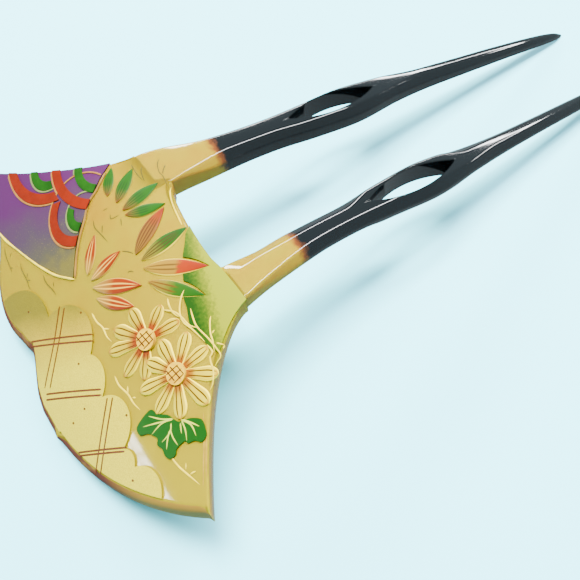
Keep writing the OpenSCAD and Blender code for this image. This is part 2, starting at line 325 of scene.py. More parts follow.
def amber_plastic(name="cast_amber_plastic", shine=0.3):
    # Cast acrylic-like plastic: warm depth under a polished skin, faint milky
    # swirls, and the prongs sprayed black with a brown, uneven start.
    c = colours()
    mat, tree, shader = new_finish(name, {
        "Roughness": 0.06, "IOR": 1.49, "Specular IOR Level": shine,
        "Subsurface Weight": GLOW,
        "Subsurface Radius": (1.0, 0.8, 0.2), "Subsurface Scale": 2.5 * MM})
    swirl = rising(tree, grown(tree, 9.0, 2.0), 0.38, 0.68)
    amber = mixed(tree, swirl, c.amber, c.amber_cloud)
    milky = math_of(tree, "MULTIPLY", between(tree, (0, -6), (14, -24)), 0.75, True)
    amber = mixed(tree, milky, amber, "#7e7001")
    # Painted light: the side walls, found by their normal, get a deeper orange, which keeps them
    # golden in the floor's blue light
    facing = add(tree, "SeparateXYZ", {0: add(tree, "NewGeometry").outputs["Normal"]})
    flat = math_of(tree, "ABSOLUTE", facing.outputs["Z"])
    wall = ramp(tree, flat, (0.15, 1.0), (0.6, 0.0))
    amber = mixed(tree, wall, amber, "#925e01")
    # The spray starts unevenly: first brown, then black
    along = add(tree, "SeparateXYZ", {0: place_of(tree)}).outputs["Y"]
    uneven = math_of(tree, "MULTIPLY", grown(tree, 1.6, 4.0), 2.4 * MM)
    share = spread(tree, math_of(tree, "ADD", along, uneven), SPRAY_FROM * MM, SPRAY_TO * MM)
    colour = mixed(tree, rising(tree, share, 0.18, 0.46), amber, "#5a3010")
    colour = mixed(tree, rising(tree, share, 0.40, 0.72), colour, c.spray_black)
    coloured(tree, shader, colour)
    bare = math_of(tree, "SUBTRACT", 1.0, rising(tree, share, 0.0, 1.0))
    weight = math_of(tree, "MULTIPLY", bare, GLOW)
    tree.links.new(weight, shader.inputs["Subsurface Weight"])
    bumped(tree, shader, grown(tree, 2.5, 2.0), 0.05, 0.05)
    return mat


def rim_paint():
    # Brown-red paint rubbed along the polished rim, worn thin in places, so the
    # amber comes through and takes over towards the right corner.
    mat, tree, shader = new_finish("painted_rim", {
        "Roughness": 0.5, "IOR": 1.45, "Specular IOR Level": 0.25})
    place = add(tree, "SeparateXYZ", {0: place_of(tree)})
    right = spread(tree, place.outputs["X"], 20.0 * MM, 27.0 * MM)
    worn = rising(tree, grown(tree, 3.0, 3.0), 0.52, 0.66)
    bare = math_of(tree, "MAXIMUM", right, math_of(tree, "MULTIPLY", worn, 0.55))
    coloured(tree, shader, mixed(tree, bare, colours().rim_paint, "#785901"))
    return mat


def lacquer(name, sockets=None):
    """Satin paint in clear lacquer: a soft body under a thin glossy coat."""
    base = {"Roughness": 0.5, "IOR": 1.5, "Specular IOR Level": 0.12,
            "Coat Weight": 0.04, "Coat Roughness": 0.12}
    base.update(sockets or {})
    return new_finish(name, base)


def purple_lacquer():
    # Purple ground, dusted with olive and gold towards the lower right.
    mat, tree, shader = lacquer("purple_ground_lacquer")
    share = math_of(tree, "ADD", between(tree, (-27, -11), (-11, -21.5)),
                    centred(tree, 4.0, 0.3))
    dusk = ramp(tree, share, (0.30, colours().purple), (0.66, "#322733"), (0.90, "#37342a"),
                (1.0, "#4b451e"))
    fleck = rising(tree, grown(tree, 0.22, 2.0), 0.60, 0.74)
    dust = math_of(tree, "MULTIPLY", fleck, spread(tree, share, 0.35, 1.1, 0.6))
    coloured(tree, shader, mixed(tree, dust, dusk, "#6a6028"))
    bumped(tree, shader, grown(tree, 0.3, 2.0), 0.12, 0.04)
    return mat


def band_lacquer(name, colour, deep):
    # A brushed wave band: denser pigment in places, a little orange-peel.
    mat, tree, shader = lacquer(name)
    share = rising(tree, grown(tree, 2.2), 0.35, 0.65)
    coloured(tree, shader, mixed(tree, share, colour, deep))
    bumped(tree, shader, grown(tree, 0.5, 2.0), 0.1, 0.04)
    return mat


def gold_lacquer():
    # Fine gold powder under clear lacquer, with a painted reflection: darker near the upper edge
    # and brighter towards the rim, where the gold mirrors the window.
    mat, tree, shader = new_finish("powder_gold_lacquer", {
        "Metallic": 0.15, "Roughness": 0.5, "Specular IOR Level": 0.2})
    # Painted reflection: dark olive gold at the upper edge, bright gold towards the rim
    share = math_of(tree, "ADD", between(tree, (-6, -22.5), (4, -31)),
                    centred(tree, 5.0, 0.25))
    tone = ramp(tree, share, (0.10, "#645a06"), (0.45, "#947e02"), (0.9, colours().gold))
    grain = grown(tree, 0.18, 2.0)
    speck = ramp(tree, grain, (0.36, 0.75), (0.62, 1.0))
    coloured(tree, shader, mixed(tree, 1.0, tone, speck, "MULTIPLY"))
    bumped(tree, shader, grain, 0.15, 0.03)
    return mat


def hill_lacquer():
    # Green-gold powder, coarse enough to see the grains, dark green at the foot.
    mat, tree, shader = new_finish("hill_powder_lacquer", {
        "Metallic": 0.1, "Roughness": 0.55, "Specular IOR Level": 0.12})
    share = math_of(tree, "ADD", between(tree, (7.8, -7.8), (9.1, -4.1)),
                    centred(tree, 0.45, 0.6))
    coloured(tree, shader, ramp(tree, share, (0.15, "#123206"), (0.45, "#2c4406"),
                                (0.75, "#525c04"), (1.0, "#6c7201")))
    bumped(tree, shader, grown(tree, 0.25, 2.0), 0.25, 0.04)
    return mat


def plain_line(name, code):
    # Lacquer drawn with a fine brush: thick paint, a little uneven in tone.
    mat, tree, shader = lacquer(name, {"Roughness": 0.4})
    share = ramp(tree, grown(tree, 1.2, 2.0), (0.3, 0.72), (0.7, 1.0))
    coloured(tree, shader, mixed(tree, 1.0, code, share, "MULTIPLY"))
    return mat


def blade_lacquer(name, stops, ribs, rib_code, rib_from, rib_to, edge_code, edges):
    """Paint of one leaf or petal. stops give its colour from base to tip, ribs are
    where the incised lines run across its width, from rib_from to rib_to along it."""
    # Shaded along the blade, with incised lines filled with brown and a pale edge.
    mat, tree, shader = lacquer(name)
    uv = add(tree, "SeparateXYZ", {0: add(tree, "TexCoord").outputs["UV"]})
    along, across = uv.outputs["X"], uv.outputs["Y"]
    tone = ramp(tree, math_of(tree, "ADD", along, centred(tree, 0.8, 0.16)), *stops)
    lines = None
    for rib in ribs:
        off = math_of(tree, "ABSOLUTE", math_of(tree, "SUBTRACT", across, rib))
        line = spread(tree, off, 0.065, 0.03)
        lines = line if lines is None else math_of(tree, "MAXIMUM", lines, line)
    start = spread(tree, along, rib_from - 0.03, rib_from + 0.03)
    stop = spread(tree, along, rib_to + 0.06, rib_to - 0.06)
    lines = math_of(tree, "MULTIPLY", math_of(tree, "MULTIPLY", lines, start), stop)
    tone = mixed(tree, lines, tone, rib_code)
    bumped(tree, shader, lines, -0.5, 0.08)
    low = spread(tree, across, edges[0] + 0.03, edges[0] - 0.01)
    high = spread(tree, across, edges[1] - 0.03, edges[1] + 0.01)
    tone = mixed(tree, math_of(tree, "MAXIMUM", low, high), tone, edge_code)
    coloured(tree, shader, tone)
    return mat


# Building pieces

def as_object(name, bm, finishes, sharp=35.0):
    """Turns the mesh into a piece that rides on the hairpin."""
    bmesh.ops.remove_doubles(bm, verts=bm.verts, dist=1e-7)
    bmesh.ops.recalc_face_normals(bm, faces=bm.faces)
    limit = math.radians(sharp)
    for face in bm.faces:
        face.smooth = True
    for edge in bm.edges:
        if len(edge.link_faces) == 2:
            edge.smooth = edge.calc_face_angle(0.0) < limit
    mesh = bpy.data.meshes.new(name)
    bm.to_mesh(mesh)
    bm.free()
    piece = bpy.data.objects.new(name, mesh)
    bpy.context.scene.collection.objects.link(piece)
    for finish in finishes:
        mesh.materials.append(finish)
    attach(piece, "root")
    return piece


# How far above the plate's face lines are drawn: on a raised panel, along the edges
# of the wave bands, on the eye of a flower and half sunk in the hill
ON_PANEL, AT_BANDS, ON_EYE, IN_HILL = 0.28, 0.36, 0.66, 0.26


def loft(bm, rows, slot=0):
    """Faces between rows of places, with corners that coincide taken once."""
    grid = [[bm.verts.new(p) for p in row] for row in rows]
    for a, b in zip(grid, grid[1:]):
        for i in range(len(a) - 1):
            kept = []
            for v in (a[i], a[i + 1], b[i + 1], b[i]):
                if all((v.co - k.co).length > 1e-7 for k in kept):
                    kept.append(v)
            if len(kept) > 2:
                bm.faces.new(kept).material_index = slot


def line_of(bm, points, width, slot, lift, height, taper):
    """A domed ribbon of lacquer, drawn along the points on the plate's face. taper
    holds the shares of its length in which it swells and thins."""
    path = flowing(points)
    total = len(path) - 1
    rows = []
    for i, p in enumerate(path):
        ahead = path[min(i + 1, total)] - path[max(i - 1, 0)]
        side = Vector((-ahead.y, ahead.x)).normalized()
        s = i / total
        full = min(1.0, (s / taper[0]) if taper[0] else 1.0,
                   ((1 - s) / taper[1]) if taper[1] else 1.0)
        full = max(full, 0.04) ** 0.6
        row = []
        for k in (-1.0, -0.7, 0.0, 0.7, 1.0):
            q = p + side * (k * width * full / 2)
            rise = height * full * math.sqrt(max(0.0, 1 - k * k))
            row.append(on_face(q.x, q.y, lift - 0.02 + rise))
        rows.append(row)
    loft(bm, rows, slot)


# The plate

FLARE = cubic((16.4, -2.2), (17.6, -8), (24.3, -14.9), (36, -22.2))


def plate_outline():
    """The plan of the plate, anticlockwise, as points with the name of their edge."""
    right = [(p, "side") for p in reversed(FLARE)]
    right += [((15.9, -1.9), "root"), ((10.2, -1.9), "root")]
    bend = [(9.7, -2.3), (8.15, -2.65), (6.3, -2.63), (4.35, -2.5), (2.5, -2.33),
            (0.65, -2.1), (-2.05, -1.7), (-5.05, -1.15), (-6.8, -0.6), (-7.7, 0.0)]
    crotch = [(tuple(p), "crotch") for p in flowing(bend, 0.6)]
    left = [((-8.9, 0.2), "root"), ((-10, -1.9), "root"), ((-15.9, -1.9), "root")]
    left += [((-x, y), "side") for x, y in FLARE]
    end = cubic((-36, -22.2), (-31.5, -24.6), (-27, -27), (-24.1, -29.3), 20)[1:]
    lobe = round_arc((-13.8, -19.6), 14.1, -133, -73, 24)
    notch = [(-7.6, -32.8), (-6.2, -32.4), (-4.5, -33.0), (-2.4, -34.2), (-0.2, -35.3)]
    foot = [(2.6, -36), (5.5, -36), (8.4, -36)]
    notch = [tuple(p) for p in flowing([lobe[-1]] + notch + foot[:1], 0.5)][1:-1]
    big = round_arc((4, 7), 43, -84, -43.5, 40)
    rim = [(p, "rim") for p in end + lobe + notch + foot + big]
    whole = right + crotch + left + rim
    # The roots stand with the prongs, which are set a little to the left
    return [((x + PRONG_SHIFT * ease(-11, -3, y), y), tag) for (x, y), tag in whole]


def dense(outline, step=0.45):
    out = []
    for (a, tag), (b, _) in zip(outline, outline[1:] + outline[:1]):
        a2, b2 = Vector(a), Vector(b)
        n = max(1, math.ceil((b2 - a2).length / step))
        for i in range(n):
            out.append((a2.lerp(b2, i / n), tag))
    return out


def roundings(points, tags):
    """The rounding at each point: by edge, eased between edges, small at corners."""
    radius = {"rim": sizes().rim_round / MM, "side": sizes().edge_round / MM,
              "crotch": sizes().crotch_round / MM, "root": 0.1}
    n = len(points)
    raw = [radius[t] for t in tags]
    soft = [sum(raw[(i + k) % n] for k in range(-3, 4)) / 7 for i in range(n)]
    corner = []
    for i in range(n):
        a = points[i] - points[i - 1]
        b = points[(i + 1) % n] - points[i]
        if a.length and b.length and abs(a.angle_signed(b)) > math.radians(32):
            corner.append(points[i])
    out = []
    for p, r in zip(points, soft):
        near = min(((p - c).length for c in corner), default=99)
        out.append(min(r, 0.12 + 0.5 * near))
    return out


def inward(points, i):
    n = len(points)
    a = (points[i] - points[i - 1]).normalized()
    b = (points[(i + 1) % n] - points[i]).normalized()
    both = (Vector((-a.y, a.x)) + Vector((-b.y, b.x)))
    both.normalize()
    return both / max(0.6, both.dot(Vector((-a.y, a.x))))


# Length of the strips in which the plate's skins follow its arch
STRIP = 0.9 * MM


def cap(bm, ring, height):
    """Closes a ring with a skin that follows height(y)."""
    face = bm.faces.new(ring)
    fixed = {v: v.co.copy() for v in ring}
    for v in ring:
        v.co.z = 0.0
    made = bmesh.ops.triangulate(bm, faces=[face])["faces"]
    low = min(v.co.y for v in ring)
    high = max(v.co.y for v in ring)
    skin = set(made)
    y = low + STRIP
    while y < high - 0.3 * MM:
        geom = list(skin) + list({e for f in skin for e in f.edges if e.is_valid})
        geom += list({v for f in skin for v in f.verts})
        cut = bmesh.ops.bisect_plane(bm, geom=geom, dist=1e-8, plane_co=(0, y, 0),
                                     plane_no=(0, 1, 0))
        skin = {g for g in cut["geom"] if isinstance(g, bmesh.types.BMFace)}
        y += STRIP
    for v in {v for f in skin for v in f.verts}:
        v.co.z = height(v.co.y / MM + CROTCH) * MM
    for v, co in fixed.items():
        v.co = co


# How many of the rows up the rim carry its brown-red paint
PAINTED_ROWS = 9


def plate(bm):
    pairs = dense(plate_outline())
    points = [p for p, _ in pairs]
    tags = [t for _, t in pairs]
    radii = roundings(points, tags)
    way = [inward(points, i) for i in range(len(points))]

    def turned(angle, height, largest, up):
        """One ring of a rounded edge: angle 0 on the wall, 90 on the face height()."""
        a = math.radians(angle)
        ring = []
        for p, r, w in zip(points, radii, way):
            r = min(r, largest)
            q = p + w * r * (1 - math.cos(a))
            ring.append(spot(q.x, q.y, height(q.y) + up * r * (1 - math.sin(a))))
        return ring

    # Bottom edge upward, then over the rounded top edge
    rows = [turned(angle, under_z, 0.4, 1) for angle in (90, 60, 30, 0)]
    rows.append([spot(p.x, p.y, 0.5 * (under_z(p.y) + face_z(p.y))) for p in points])
    rows += [turned(angle, face_z, math.inf, -1) for angle in (0, 18, 36, 54, 72, 90)]
    # A ring on the face itself keeps the shading of the rounding out of it
    inset = [p + w * (r + 0.12) for p, r, w in zip(points, radii, way)]
    rows.append([spot(q.x, q.y, face_z(q.y)) for q in inset])
    grid = [[bm.verts.new(p) for p in row] for row in rows]
    n = len(points)
    for k, (a, b) in enumerate(zip(grid, grid[1:])):
        for i in range(n):
            j = (i + 1) % n
            face = bm.faces.new([a[i], a[j], b[j], b[i]])
            face.material_index = 1 if tags[i] == "rim" and k < PAINTED_ROWS else 0
    cap(bm, grid[0][::-1], under_z)
    cap(bm, grid[-1], face_z)


# The prongs

# Along each prong: y, the middle of its width, its width and its thickness
STATIONS = [
    (-8, 12.8, 6.6, 3.9), (-2.2, 12.6, 7.5, 4.05), (0, 12.5, 7.2, 4.05), (4, 12.3, 6.4, 4.05),
    (8, 12.0, 5.8, 4.0), (14, 11.6, 5.2, 4.0), (21, 11.4, 5.2, 3.9), (28, 11.2, 6.3, 3.9),
    (36, 11.2, 7.4, 3.9), (40, 11.2, 7.1, 3.8), (48, 11.2, 5.1, 3.6), (56, 11.0, 3.9, 3.3),
    (66, 10.6, 3.3, 2.9), (78, 10.1, 2.9, 2.5), (90, 9.5, 2.3, 2.0), (95.5, 9.2, 1.5, 1.4),
    (98, 9.1, 0.4, 0.5)]
EYELET_Y, EYELET_X = 34.2, 11.2
# Half length and half width of the eyelet at its top and at the underside
EYELET_TOP, EYELET_LOW = (9.6, 2.21), (8.9, 2.05)
# How far from its middle the eyelet's walls are drawn
EYELET_REACH = 10.4
TIP_Y = 98.0


def station(y, k):
    """Middle, width or thickness of a prong at y, on a smooth curve."""
    last = len(STATIONS) - 1
    i = 0
    while i < last - 1 and y >= STATIONS[i + 1][0]:
        i += 1
    h = STATIONS[i + 1][0] - STATIONS[i][0]
    s = (y - STATIONS[i][0]) / h

    def slope(j):
        a, b = max(j - 1, 0), min(j + 1, last)
        return (STATIONS[b][k] - STATIONS[a][k]) / (STATIONS[b][0] - STATIONS[a][0])

    return ((1 + 2 * s) * (1 - s) ** 2 * STATIONS[i][k] + s * (1 - s) ** 2 * h * slope(i)
            + s * s * (3 - 2 * s) * STATIONS[i + 1][k] + s * s * (s - 1) * h * slope(i + 1))


def inner_add(y, hand):
    """How much wider a prong is on its inner side. The left one swells toward the
    crotch, and the right one is cut back there."""
    if hand < 0:
        return 0.5 * (1 - ease(4, 16, y)) + 0.3 * (1 - ease(60, 90, y))
    return ease(-2, 10, y) - 1


def prong_section(y, hand):
    """The eight corners (x, z) of a prong's section: foot, outer side, top, inner side."""
    c, w, h = station(y, 1), station(y, 2), station(y, 3)
    z = under_z(y) + 0.1 * (1 - ease(-3, 1, y))
    # Level with the plate's face at the root, and sunk slowly under it behind that
    flush = face_z(y) - z + 0.012 - 0.05 * max(0.0, -2.2 - y)
    h = flush + (h - flush) * ease(-1.5, 8, y)
    more = inner_add(y, hand)
    bevel, fine = ease(-3, 5, y), ease(46, 56, y)
    swell = ease(20, 26, y) - ease(42, 48, y)
    slow = ease(-1, 12, y) if hand < 0 else bevel
    flat_in = 0.47 - 0.33 * ease(-5, -0.5, y) + 0.06 * fine + 0.22 * swell
    if hand < 0:
        flat_in = 0.5 - 0.16 * slow - 0.14 * fine + 0.04 * swell
    flat_out = 0.47 - 0.15 * ease(-1, 11, y) - 0.16 * fine
    wall_in, wall_out = 0.94 - 0.32 * slow, 0.94 - 0.36 * bevel
    low_in = 0.3 - 0.2 * bevel
    foot = 0.44 - 0.14 * bevel + 0.12 * swell
    side = c - 0.5 * w - more
    ridge = max(side + 0.03 * w, c - flat_in * w - more * (1 - slow))
    return [(side + 0.03 * w, z), (c + foot * w, z),
            (c + 0.5 * w, z + 0.3 * h), (c + 0.5 * w, z + wall_out * h),
            (c + flat_out * w, z + h), (ridge, z + h), (side, z + wall_in * h),
            (side, z + low_in * h)]


def softened(corners, i, r):
    """Four points that round corner i of a section."""
    p = Vector(corners[i])
    a = Vector(corners[i - 1]) - p
    b = Vector(corners[(i + 1) % len(corners)]) - p
    cut = min(r, 0.42 * a.length, 0.42 * b.length)
    start, end = p + a.normalized() * cut, p + b.normalized() * cut
    out = []
    for t in (0.0, 0.33, 0.67, 1.0):
        out.append((1 - t) ** 2 * start + 2 * t * (1 - t) * p + t * t * end)
    return out


def almond(s, half_l, half_w):
    if abs(s) >= 1:
        return 0.0
    r = (half_l ** 2 + half_w ** 2) / (2 * half_w)
    return math.sqrt(r * r - (s * half_l) ** 2) - (r - half_w)


def top_at(corners, x):
    """Height of a section's upper boundary at x."""
    chain = [corners[6], corners[5], corners[4], corners[3]]
    if x <= chain[0][0]:
        return chain[0][1]
    for (x0, z0), (x1, z1) in zip(chain, chain[1:]):
        if x <= x1:
            return z0 + (z1 - z0) * (x - x0) / max(x1 - x0, 1e-9)
    return chain[-1][1]


def prong(bm, hand):
    """One prong, hand 1 or -1. Each ring is split at the eyelet into an outer and
    an inner strand, which meet again before and behind it."""
    stops = []
    y = -6.0
    while y < TIP_Y:
        stops.append(y)
        fine_step = y > TIP_Y - 4 or abs(abs(y - EYELET_Y) - 9.7) < 1.6
        y += 0.3 if fine_step else 0.8
    stops.append(TIP_Y)
    outer, inner = [], []
    for y in stops:
        corners = prong_section(y, hand)
        flat_mid = 0.5 * (corners[4][0] + corners[5][0])
        s = (y - EYELET_Y) / EYELET_TOP[0]
        mid = flat_mid + (EYELET_X - flat_mid) * (1 - ease(1.0, 1.5, abs(s)))
        gap_top = almond(s, *EYELET_TOP)
        gap_low = almond(s, *EYELET_LOW)
        y_low = EYELET_Y + s * EYELET_LOW[0] if abs(s) < 1 else y
        z_low = corners[0][1] + (under_z(y_low) - under_z(y))
        r_top = 0.34 + 0.1 * (1 - ease(-3, 4, y))
        # The small facet round the eyelet's top edge fades out at its two ends
        lip = min(0.14, 0.8 * gap_top)

        def put(x, z, along=y):
            return spot(hand * x + PRONG_SHIFT, along, z)

        def on_top(x, drop=0.0):
            return put(x, top_at(corners, x) - drop)

        def turned(*picks):
            rounded = [softened(corners, i, r)[::-1] for i, r in picks]
            return [p for group in rounded for p in group]

        brink = mid + gap_top + lip
        strand = [on_top(mid + gap_top, lip), on_top(brink), on_top(brink + 0.1)]
        for p in turned((4, r_top)):
            x = max(p.x, brink + 0.1)
            strand.append(put(x, min(p.y, top_at(corners, x)) if p.x < brink else p.y))
        strand += [put(max(p.x, brink), p.y) for p in turned((3, 0.35))]
        strand += [put(p.x, p.y) for p in turned((2, 0.5), (1, 0.5))]
        strand.append(put(mid + gap_low, z_low, y_low))
        outer.append(strand)
        brink = mid - gap_top - lip
        strand = [put(mid - gap_low, z_low, y_low)]
        strand += [put(p.x, p.y) for p in turned((0, 0.5), (7, 0.5), (6, 0.35))]
        strand += [put(min(p.x, brink - 0.1), p.y) for p in turned((5, r_top))]
        strand += [on_top(brink - 0.1), on_top(brink), on_top(mid - gap_top, lip)]
        inner.append(strand)
    loft(bm, outer, 2)
    loft(bm, inner, 2)
    # The eyelet's two walls
    for strands in (inner, outer):
        loft(bm, [[ring[-1], ring[0]] for ring, y in zip(strands, stops)
                  if abs(y - EYELET_Y) < EYELET_REACH], 2)
    for k in (0, -1):
        end = [bm.verts.new(p) for p in outer[k] + inner[k][1:-1]]
        bm.faces.new(end if k else end[::-1]).material_index = 2


class KANZASHI_OT_body(bpy.types.Operator):
    """Moulds the amber plate with its polished edges and the two pierced prongs"""
    bl_idname = "kanzashi.body"
    bl_label = "Moulded body"

    def execute(self, context):
        bm = bmesh.new()
        plate(bm)
        prong(bm, 1)
        prong(bm, -1)
        piece = as_object("moulded_body", bm, [
            amber_plastic(), rim_paint(), amber_plastic("buffed_amber_plastic", 0.7)], 40.0)
        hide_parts("body")
        return {"FINISHED"}


# Wave field

# Middle and radius of the outer line of each orange ring, and of each green one. The
# line of a ring stops at the orange rings that come after it.
WAVES = [((-28.7, -9.9), 10.9), ((-20.0, -5.4), 9.9), ((-15.0, -13.7), 5.9)]
HOLLOWS = [((-25.9, -13.4), 4.3), ((-18.5, -6.9), 5.1), ((-14.0, -13.5), 3.2)]
WAVE_FIELD = [(-17.9, -6), (-16.6, -8.8), (-15.4, -10.6), (-13.6, -13.4), (-12.2, -15.6),
              (-10.2, -17.9), (-7, -20.5), (-9.5, -22), (-14.5, -23.9), (-20.1, -25.5),
              (-27, -26.8), (-34, -27.4), (-40, -24), (-40, -10), (-24, -2)]
PLATE = [p for p, _ in plate_outline()]


def wave_outline(bm, index, table, slot):
    """The visible runs of one ring's outer line."""
    centre, r = table[index]
    runs = [[]]
    for k in range(361):
        a = math.radians(k - 180)
        p = (centre[0] + r * math.cos(a), centre[1] + r * math.sin(a))
        shown = inside(p, WAVE_FIELD) and inside(p, PLATE)
        for over, reach in WAVES[index + 1:]:
            if math.dist(p, over) < reach + 0.1:
                shown = False
        if table is HOLLOWS and math.dist(p, WAVES[index][0]) > WAVES[index][1]:
            shown = False
        if shown:
            runs[-1].append(p)
        elif runs[-1]:
            runs.append([])
    for run in runs:
        if len(run) > 6:
            line_of(bm, run[::4] + [run[-1]], 0.3, slot, AT_BANDS, 0.1, (0.02, 0.02))


def dress(node, finish, round_mm, steps=2):
    """Gives a CAD node its finish and a small rounding along its edges."""
    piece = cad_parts[node]
    piece.data.materials.clear()
    piece.data.materials.append(finish)
    edge = piece.modifiers.new("polished edge", "BEVEL")
    edge.width = round_mm * MM
    edge.segments = steps
    edge.limit_method = "ANGLE"
    edge.angle_limit = math.radians(50)
    edge.harden_normals = False
    return piece


class KANZASHI_OT_waves(bpy.types.Operator):
    """Dresses the purple wave field, its bands and their drawn outlines"""
    bl_idname = "kanzashi.waves"
    bl_label = "Wave field"

    def execute(self, context):
        dress("wave_panel", purple_lacquer(), 0.08)
        dress("wave_crests", band_lacquer("orange_band_lacquer", colours().orange,
                                          "#521202"), 0.05)
        dress("wave_troughs", band_lacquer("green_band_lacquer", colours().green,
                                           "#0c3004"), 0.05)
        bm = bmesh.new()
        for i in range(3):
            wave_outline(bm, i, WAVES, 0)
            wave_outline(bm, i, HOLLOWS, 1)
        piece = as_object("wave_outlines", bm, [plain_line("rose_beige_line", "#7b5222"),
                                                plain_line("silver_line", "#5d6539")])
        bm = bmesh.new()
        line_of(bm, [(-26.9, -26.7), (-24.1, -26.4), (-20.6, -25.5), (-16.9, -24.6),
                     (-13.4, -23.6), (-10.4, -22.5), (-6.7, -20.4)], 0.4, 0, 0.12, 0.24,
                (0.02, 0.02))
        line_of(bm, [(-6.7, -20.2), (-8.9, -18.5), (-10.9, -16.5), (-12.8, -14.1),
                     (-14.5, -12.3), (-15.3, -10.2), (-17, -7.3)], 0.36, 1, 0.12, 0.24,
                (0.02, 0.02))
        piece = as_object("wave_field_border", bm, [plain_line("cream_border", "#c4ac1c"),
                                                    plain_line("pink_gold_border", "#7b5c22")])
        return {"FINISHED"}


# Gold cloud

LATTICE = [
    [(-5.8, -24.4), (-2.2, -28.5), (1.2, -33.6)], [(-4.9, -23.8), (-1.4, -27.8), (2.2, -32.8)],
    [(12, -25.4), (18.6, -33.1)], [(12.7, -24.7), (19.3, -32.4)],
    [(-6.8, -31.6), (3, -22.3)], [(-6.2, -32), (3.8, -22.8)],
    [(1.9, -33.8), (10.5, -25.5)], [(2.5, -34.3), (11.2, -25.9)],
    [(13.6, -33.9), (20, -26.9)], [(14.2, -33.9), (20.3, -27.3)]]
SPECKS = [(-10.7, -29.3), (-1.5, -22.2), (4.1, -26.6), (9.8, -32.1), (16.6, -24.5),
          (24.2, -28.6), (10, -29.4)]


class KANZASHI_OT_cloud(bpy.types.Operator):
    """Dresses the gold cloud with its brown lattice and specks"""
    bl_idname = "kanzashi.cloud"
    bl_label = "Gold cloud"

    def execute(self, context):
        dress("gold_cloud", gold_lacquer(), 0.1, 3)
        bm = bmesh.new()
        for line in LATTICE:
            line_of(bm, line, 0.36, 0, ON_PANEL, 0.035, (0.02, 0.04))
        for x, y in SPECKS:
            line_of(bm, [(x - 0.25, y - 0.1), (x, y), (x + 0.25, y + 0.15)], 0.4, 0,
                    ON_PANEL, 0.04, (0.3, 0.3))
        piece = as_object("cloud_lattice", bm, [plain_line("brown_lattice_line", "#4a2206")])
        return {"FINISHED"}


class KANZASHI_OT_hill(bpy.types.Operator):
    """Dresses the green-gold hill and the drawn line along the crotch"""
    bl_idname = "kanzashi.hill"
    bl_label = "Hill"

    def execute(self, context):
        dress("hill_panel", hill_lacquer(), 0.08)
        bm = bmesh.new()
        line_of(bm, [(-7.4, -0.6), (-6.8, -1.15), (-5.4, -1.8), (-3.6, -2.3),
                     (-1.8, -2.65), (-0.2, -2.95)], 0.26, 0, 0.0, 0.1, (0.1, 0.1))
        piece = as_object("crotch_line", bm, [plain_line("cream_crotch_line", "#c4ac1c")])
        return {"FINISHED"}


# Leaves and petals

# The dome of a blade: places across it, and its height there as a share of the full
ACROSS = [(0.0, -0.2), (0.02, 0.45), (0.07, 0.8), (0.2, 0.95), (0.5, 1.0), (0.8, 0.95),
          (0.93, 0.8), (0.98, 0.45), (1.0, -0.2)]


def blade(bm, base, tip, half_width, thick, slot, lift=0.0, bend=0.0, steps=22):
    """A domed leaf or petal from base to tip. half_width(s) is its half width, and
    its texture runs 0 to 1 along and across."""
    a, b = Vector(base), Vector(tip)
    run = b - a
    side = Vector((-run.y, run.x)).normalized()
    layer = bm.loops.layers.uv.verify()
    grid = []
    for i in range(steps + 1):
        s = i / steps
        mid = a + run * s + side * bend * math.sin(math.pi * s)
        w = max(half_width(s), 0.02)
        row = []
        for v, rise in ACROSS:
            q = mid + side * (2 * v - 1) * w
            row.append((bm.verts.new(on_face(q.x, q.y, lift + thick * rise)), s, v))
        grid.append(row)
    for ra, rb in zip(grid, grid[1:]):
        for k in range(len(ra) - 1):
            quad = [ra[k], ra[k + 1], rb[k + 1], rb[k]]
            face = bm.faces.new([q[0] for q in quad])
            face.material_index = slot
            for loop, q in zip(face.loops, quad):
                loop[layer].uv = (q[1], q[2])


def leaf_width(width, belly):
    power = math.log(0.5) / math.log(belly)
    return lambda s: 0.5 * width * max(math.sin(math.pi * s ** power), 0.0) ** 0.85


# The leaves of each spray: base, tip, width and bend
UPPER = [((-13, -9.3), (-17, -6.2), 1.9, 0.2), ((-10.8, -8.8), (-14.4, -3.7), 2.3, 0.1),
         ((-8.9, -8.7), (-9.3, -1.9), 2.4, 0.0), ((-7.9, -8.8), (-5.2, -3.0), 2.1, -0.2)]
MIDDLE = [((-1, -11), (-4.7, -3.5), 2.6, 0.2), ((0.5, -10.8), (0.7, -2.6), 2.6, 0.0),
          ((1.8, -11.2), (8.4, -3.6), 2.7, -0.1), ((4.1, -11.7), (12, -6.5), 2.3, -0.2)]
LOWER = [((-5.1, -18.4), (-9.2, -14.2), 1.9, 0.2), ((-3.9, -18.4), (-3.5, -12.5), 2.2, 0.0),
         ((-2.8, -18.8), (3.7, -12.8), 2.4, 0.0), ((-0.9, -19.2), (5.4, -15.3), 2.0, -0.1)]


